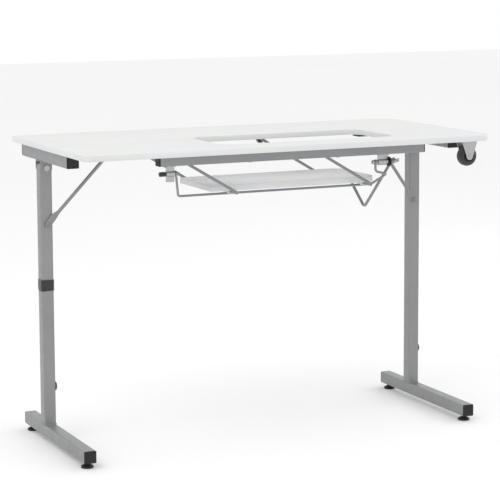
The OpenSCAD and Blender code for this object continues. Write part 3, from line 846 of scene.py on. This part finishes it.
def threaded(z0, z1, r, pitch=1.25 * MM):
    """(height, radius) up a threaded stud, as rings."""
    turns = int((z1 - z0) / pitch)
    points = [(z0, r * 0.8)]
    for k in range(turns):
        z = z0 + pitch * k
        points += [(z + 0.2 * pitch, r * 0.86), (z + 0.6 * pitch, r), (z + 0.95 * pitch, r * 0.86)]
    return points + [(z1, r * 0.8)]


def foot_pads():
    """Levelling feet: a moulded cup on a threaded zinc stud."""
    for side in ("left", "right"):
        for end in ("front", "rear"):
            node = f"{side}_{end}_pad"
            at = middle(node)
            base = Vector((at.x, at.y, 0))
            r = size(node).x / 2
            cup = [
                (0.0, r - 3.2 * MM), (0.0, r - 1.4 * MM), (0.5 * MM, r - 0.4 * MM), (1.3 * MM, r),
                (3.6 * MM, r), (4.4 * MM, r - 0.5 * MM), (5.2 * MM, r - 1.8 * MM), (6.2 * MM, r - 4.2 * MM),
                (7.2 * MM, r - 6.2 * MM), (8.2 * MM, 6.2 * MM), (10.2 * MM, 5.9 * MM), (10.6 * MM, 5.4 * MM),
            ]
            piece(node + "_cup", *lathe(base, (0, 0, 1), cup, 48), "black_plastic", node, node)
            stud = lathe(base, (0, 0, 1), threaded(10.4 * MM, 23.5 * MM, 3.9 * MM), 24)
            piece(node + "_stud", *stud, "zinc", node)


def bumpers():
    """A rubber dome with a lip."""
    for side in ("left", "right"):
        node = side + "_bumper"
        at = middle(node)
        r, h = size(node).z / 2, size(node).x
        base = Vector((low(node).x, at.y, at.z))
        dome = [(0, r - 0.6 * MM), (0.5 * MM, r), (1.4 * MM, r), (1.9 * MM, r - 0.5 * MM)]
        for k in range(1, 9):
            a = math.radians(10 * k)
            dome.append((1.9 * MM + (h - 1.9 * MM) * math.sin(a), (r - 0.5 * MM) * math.cos(a) ** 0.8))
        dome.append((h - 0.7 * MM, 1.2 * MM))
        piece(side + "_bumper_dome", *lathe(base, (1, 0, 0), dome, 48), "black_rubber", side + "_leg", node)


STRAP_TURNS = 1.2
STRAP_THICK = 1.15 * MM


def strap():
    """A hook-and-loop tie wound a little over once round the left leg, its end lapped over the start."""
    a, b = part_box("leg_strap")
    cx, cy = (a.x + b.x) / 2, (a.y + b.y) / 2
    inner = size("left_leg").x / 2 + 0.15 * MM
    lap = 0.95 * MM
    centre_r = TUBE_R + 0.6 * MM

    def around(share):
        """A point and its outward direction at a share of one turn round the leg."""
        side = 2 * (inner - centre_r)
        corner = math.pi / 2 * centre_r
        s = (share % 1) * 4 * (side + corner)
        quarter, s = divmod(s, side + corner)
        turn = Matrix.Rotation(math.pi / 2 * quarter, 2)
        if s < side:
            p, n = Vector((inner, -side / 2 + s)), Vector((1, 0))
        else:
            t = (s - side) / centre_r
            n = Vector((math.cos(t), math.sin(t)))
            p = Vector((inner - centre_r, side / 2)) + n * centre_r
        return turn @ p, turn @ n

    steps, rows = 110, 8
    z0, z1 = a.z + 0.6 * MM, b.z - 0.6 * MM
    inside, outside = [], []
    for i in range(steps + 1):
        share = STRAP_TURNS * i / steps
        p, n = around(share - 0.42)
        over = max(0, min(1, (share - 0.94) / 0.06)) * lap
        lift = 0.28 * MM * math.sin(share * 23) * math.sin(share * 9 + 1)
        lift = max(lift, 0) + over
        low_row, high_row = [], []
        for j in range(rows + 1):
            v = j / rows
            wave = 0.12 * MM * math.sin(share * 41 + v * 5) + 0.10 * MM * math.sin(v * 9 + share * 17)
            edge = 0.32 * MM * math.sin(share * 12.0) * (1 if v > 0.5 else -0.6)
            z = z0 + (z1 - z0) * v + edge * (0.5 if 0 < v < 1 else 1) * 0.8
            z = min(max(z, a.z), b.z)
            r_in, r_out = lift + max(wave, -0.05 * MM), lift + wave + STRAP_THICK
            low_row.append(Vector((cx + p.x + n.x * r_in, cy + p.y + n.y * r_in, z)))
            high_row.append(Vector((cx + p.x + n.x * r_out, cy + p.y + n.y * r_out, z)))
        inside.append(low_row)
        outside.append(high_row)
    loops = [low_row + high_row[::-1] for low_row, high_row in zip(inside, outside)]
    piece("leg_tie", *skin(loops), "strap", "left_leg", "leg_strap", smooth=60)


# ---------- lift hardware ----------


def knurled(x0, x1, centre, r, ribs, depth):
    """A ribbed grip along X with soft ends."""
    loops = []
    n = ribs * 4
    e = 0.9 * MM
    start = [(x0, 0.78), (x0 + 0.3 * e, 0.9), (x0 + e, 1)]
    end = [(x1 - e, 1), (x1 - 0.3 * e, 0.9), (x1, 0.78)]
    for x, scale in start + end:
        loop = []
        for k in range(n):
            a = TAU * k / n
            rr = (r - depth * (0.5 + 0.5 * math.cos(ribs * a))) * scale
            loop.append(Vector((x, centre.y + rr * math.cos(a), centre.z + rr * math.sin(a))))
        loops.append(loop)
    return skin(loops)


def bar_profile(x0, x1, r, soft=0.6 * MM):
    """(place, radius) along a bar with softened ends."""
    start = [(x0, r - soft), (x0 + soft * 0.3, r - soft * 0.3), (x0 + soft, r)]
    end = [(x1 - soft, r), (x1 - soft * 0.3, r - soft * 0.3), (x1, r - soft)]
    return start + end


def latch():
    """The pull pin of the left bracket and its ribbed grip."""
    at = middle("latch_pin")
    a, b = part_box("latch_pin")
    axis_point = Vector((0, at.y, at.z))
    pin = bar_profile(a.x, b.x, size("latch_pin").y / 2)
    piece("latch_pin_rod", *lathe(axis_point, (1, 0, 0), pin, 28), "grey_wire", "latch_pin", "latch_pin")
    a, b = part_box("latch_grip")
    grip = knurled(a.x, b.x, at, size("latch_grip").y / 2, 14, 0.7 * MM)
    piece("latch_grip_knob", *grip, "black_rubber", "latch_pin", "latch_grip")


def clamp():
    """The clamp screw, its ribbed friction disc and the wing nut."""
    at = middle("latch_pin")
    axis_point = Vector((0, at.y, at.z))
    a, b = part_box("clamp_screw")
    shaft = bar_profile(a.x + 2 * MM, b.x, 2.95 * MM)
    ridged = shaft[:3]
    x = high("wing_nut").x - 4 * MM
    while x < b.x - 1.4 * MM:
        ridged += [(x, 2.95 * MM), (x + 0.5 * MM, 2.55 * MM), (x + 0.95 * MM, 2.95 * MM)]
        x += 1.0 * MM
    ridged += shaft[-2:]
    screw = lathe(axis_point, (1, 0, 0), ridged, 28)
    head = pan_head(Vector((a.x + 4 * MM, at.y, at.z)), (-1, 0, 0), 10 * MM, 4 * MM)
    piece("clamp_screw_body", *joined(screw, head), "zinc", "root", "clamp_screw", smooth=32)
    a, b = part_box("clamp_disc")
    disc = knurled(a.x, b.x, at, size("clamp_disc").y / 2, 24, 0.6 * MM)
    piece("clamp_disc_knob", *disc, "black_plastic", "root", "clamp_disc")
    wing_nut(at)


def wing_nut(at):
    """A cast wing nut: a waisted hub and two rounded ears."""
    a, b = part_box("wing_nut")
    hub_end = a.x + 8 * MM
    hub = [
        (a.x, 5.2 * MM), (a.x + 0.5 * MM, 5.9 * MM), (a.x + 2 * MM, 6.0 * MM),
        (hub_end - 2.5 * MM, 5.0 * MM), (hub_end - 0.6 * MM, 4.6 * MM), (hub_end, 4.0 * MM),
    ]
    parts = [lathe(Vector((0, at.y, at.z)), (1, 0, 0), hub, 32)]
    for sign in (-1, 1):
        tilt = Matrix.Rotation(math.radians(sign * 62), 3, "X")
        base = Vector((a.x + 3 * MM, at.y, at.z))
        loops = []
        for t in (0, 0.15, 0.35, 0.55, 0.75, 0.9, 0.97, 1.0):
            spine = Vector((0.3 + 6.2 * t, 0, 3.5 + 10.6 * t)) * MM
            wide = (2.3 + 1.5 * math.sin(math.pi * min(t * 0.95, 1))) * MM
            thick = (1.9 - 0.7 * t) * MM
            if t > 0.85:
                end = math.sqrt(max(1 - ((t - 0.85) / 0.152) ** 2, 0.02))
                wide, thick = wide * end, thick * (0.5 + 0.5 * end)
            out = Vector((0.86, 0, -0.5))
            loops.append([
                base + tilt @ (spine + out * math.cos(u) * wide + Vector((0, math.sin(u) * thick, 0)))
                for u in (TAU * k / 16 for k in range(16))
            ])
        parts.append(skin(loops))
    piece("wing_nut_cast", *joined(*parts), "zinc", "wing_nut", "wing_nut", smooth=50)


def clip_heads():
    """The screws of the four rod clips under the platform."""
    a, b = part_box("clip_screws")
    r, rise, shank = 3.5 * MM, 1.6 * MM, (1.7 * MM, 9 * MM)
    seat = a.z + rise
    ys = (a.y + r, b.y - r)
    gap = 25 * MM
    xs = (a.x + r, a.x + r + gap, b.x - r - gap, b.x - r)
    points = [(x, y, seat) for x in xs for y in ys]
    screws("clip_screw_heads", "clip_screws", points, 2 * r, rise, DOWN, "zinc", "platform", shank)


def brace_screws():
    """The screws the braces turn on, painted with the legs."""
    head_d, head_h, shank_r = 12 * MM, 3 * MM, 2.95 * MM
    for side in ("left", "right"):
        node = side + "_brace_screw"
        a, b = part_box(node)
        at = (a + b) / 2
        point = Vector((at.x, a.y + head_h, at.z))
        shank, forward = (shank_r, b.y - point.y), (0, -1, 0)
        screws(node + "_head", node, [point], head_d, head_h, forward, "grey_paint", side + "_leg", shank)


# ---------- casters ----------


def wheel_loops(centre, profile, steps):
    """A loop round the Y axis for each (place across the wheel, radius)."""
    angles = [TAU * k / steps for k in range(steps)]
    return [[centre + Vector((q * math.cos(a), t, q * math.sin(a))) for a in angles] for t, q in profile]


def caster(end):
    """A rubber wheel on a moulded hub with webs, and the domed rivet that carries it."""
    hub, tyre, body = end + "_caster_hub", end + "_caster_tyre", end + "_wheel"
    at = middle(tyre)
    r, w = size(tyre).x / 2, size(tyre).y / 2
    rim = size(hub).x / 2
    shoulder = [
        (-1, rim), (-1, rim + 2.2 * MM), (-0.93, r - 4.4 * MM),
        (-0.8, r - 2.2 * MM), (-0.6, r - 0.8 * MM), (-0.38, r - 0.1 * MM),
    ]
    shoulder = [(t * w, q) for t, q in shoulder]
    groove = [(-0.16, 0), (-0.12, 0.9), (-0.03, 0.9), (0.03, 0.9), (0.12, 0.9), (0.16, 0)]
    tread = shoulder + [(t * w, r - d * MM) for t, d in groove] + [(-t, q) for t, q in reversed(shoulder)]
    tyre_skin = skin(wheel_loops(at, tread, 72), closed=True)
    piece(end + "_tyre_ring", *tyre_skin, "black_rubber", body, tyre)
    half = size(hub).y / 2
    bore = 3.1 * MM
    dish = half - 4 * MM
    face = [
        (dish, rim - 2.6 * MM), (half - 0.5 * MM, rim - 2.2 * MM), (half, rim - 1.7 * MM),
        (half, rim - 0.7 * MM), (half - 0.6 * MM, rim),
    ]
    boss = [
        (half - 0.4 * MM, bore), (half, bore + 0.5 * MM), (half, 5.6 * MM),
        (half - 0.5 * MM, 6.3 * MM), (dish, 6.7 * MM),
    ]
    ring = boss + face + [(-t, q) for t, q in reversed(boss + face)]
    parts = [skin(wheel_loops(at, ring, 64), closed=True)]
    for k in range(5):
        turn = Matrix.Rotation(TAU * k / 5, 3, "Y")
        for s in (-1, 1):
            web = []
            for q in (6.2 * MM, rim - 2.3 * MM):
                web.append([at + turn @ Vector(p) for p in (
                    (q, s * (dish - 0.4 * MM), -1.1 * MM), (q, s * (dish - 0.4 * MM), 1.1 * MM),
                    (q, s * (half - 0.9 * MM), 0.7 * MM), (q, s * (half - 0.9 * MM), -0.7 * MM))])
            parts.append(skin(web))
    piece(end + "_hub_moulding", *joined(*parts), "black_plastic", body, hub)
    axle = end + "_caster_axle"
    a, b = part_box(axle)
    axis_point = Vector((at.x, 0, at.z))
    dome = [(0, 1.6), (0.3, 3.2), (0.9, 4.2), (1.6, 4.5), (1.75, 3)]
    rivet = [(a.y + t * MM, q * MM) for t, q in dome] + [(b.y - t * MM, q * MM) for t, q in reversed(dome)]
    piece(end + "_axle_rivet", *lathe(axis_point, (0, 1, 0), rivet, 32), "zinc", "root", axle)


# ---------- camera, light and floor ----------

CAMERA_AT = (-1.874, -4.021, 1.134)
CAMERA_YAW = 25.66
CAMERA_DOWN = 7.27
CAMERA_ROLL = 0.17
CAMERA_LENS = 137.1
CAMERA_SHIFT = (-0.05, -0.12)


def camera():
    """The camera, where its constants put it."""
    data = bpy.data.cameras.new("camera")
    data.lens = CAMERA_LENS
    data.shift_x, data.shift_y = CAMERA_SHIFT
    data.clip_start, data.clip_end = 0.1, 60
    obj = bpy.data.objects.new("camera", data)
    bpy.context.collection.objects.link(obj)
    obj.location = CAMERA_AT
    yaw, down, roll = (math.radians(v) for v in (CAMERA_YAW, CAMERA_DOWN, CAMERA_ROLL))
    aim = Matrix.Rotation(-yaw, 4, "Z") @ Matrix.Rotation(math.pi / 2 - down, 4, "X")
    obj.rotation_euler = (aim @ Matrix.Rotation(-roll, 4, "Z")).to_euler()
    bpy.context.scene.camera = obj


def softbox(name, at, aim, width, height, watts):
    """A rectangular area light at a place, aimed at a point."""
    data = bpy.data.lights.new(name, "AREA")
    data.shape = "RECTANGLE"
    data.size, data.size_y = width, height
    data.energy = watts
    obj = bpy.data.objects.new(name, data)
    bpy.context.collection.objects.link(obj)
    obj.location = at
    obj.rotation_euler = (Vector(aim) - Vector(at)).to_track_quat("-Z", "Y").to_euler()


def studio():
    """A white room: an even sky, a large key from the upper left, fills from the front and right."""
    world = bpy.data.worlds.new("studio")
    world.use_nodes = True
    sky = world.node_tree.nodes["Background"]
    sky.inputs["Color"].default_value = (1, 1, 1, 1)
    sky.inputs["Strength"].default_value = 1.0
    bpy.context.scene.world = world
    centre = (cad_low + cad_high) / 2
    softbox("key", centre + Vector((-2.6, -1.2, 3.0)), centre, 2.4, 2.0, 30)
    softbox("front", centre + Vector((0.6, -3.6, 0.9)), centre, 2.2, 1.6, 6)
    softbox("right", centre + Vector((3.0, 0.2, 1.4)), centre, 1.6, 1.6, 14)
    bpy.context.scene.view_settings.view_transform = "Standard"


def floor():
    """A pale seamless floor whose tone drifts slightly."""
    half = 14
    steps = 24
    verts, faces = [], []
    for i in range(steps + 1):
        for j in range(steps + 1):
            verts.append((half * (2 * i / steps - 1), half * (2 * j / steps - 1), 0))
    for i in range(steps):
        for j in range(steps):
            k = i * (steps + 1) + j
            faces.append((k, k + steps + 1, k + steps + 2, k + 1))
    mesh = bpy.data.meshes.new("floor")
    mesh.from_pydata(verts, [], faces)
    obj = bpy.data.objects.new("floor", mesh)
    bpy.context.collection.objects.link(obj)
    pale = Finish("pale_floor", (0.92, 0.92, 0.92), 0.9)
    pale.tint(pale.noise(0.5, 2), (0.90, 0.90, 0.903), 0.3, 0.7, 0.5)
    mesh.materials.append(pale.material)


# ---------- the whole ----------

paint_cad()
camera()
studio()
floor()
table_board()
platform_board()
frame_tubes()
frame_screws()
for side, sign in (("left", -1), ("right", 1)):
    bail(side)
    brace(side, sign)
support_wire()
prop_arm()
foot_pads()
bumpers()
strap()
latch()
clamp()
clip_heads()
brace_screws()
for end in ("front", "rear"):
    caster(end)
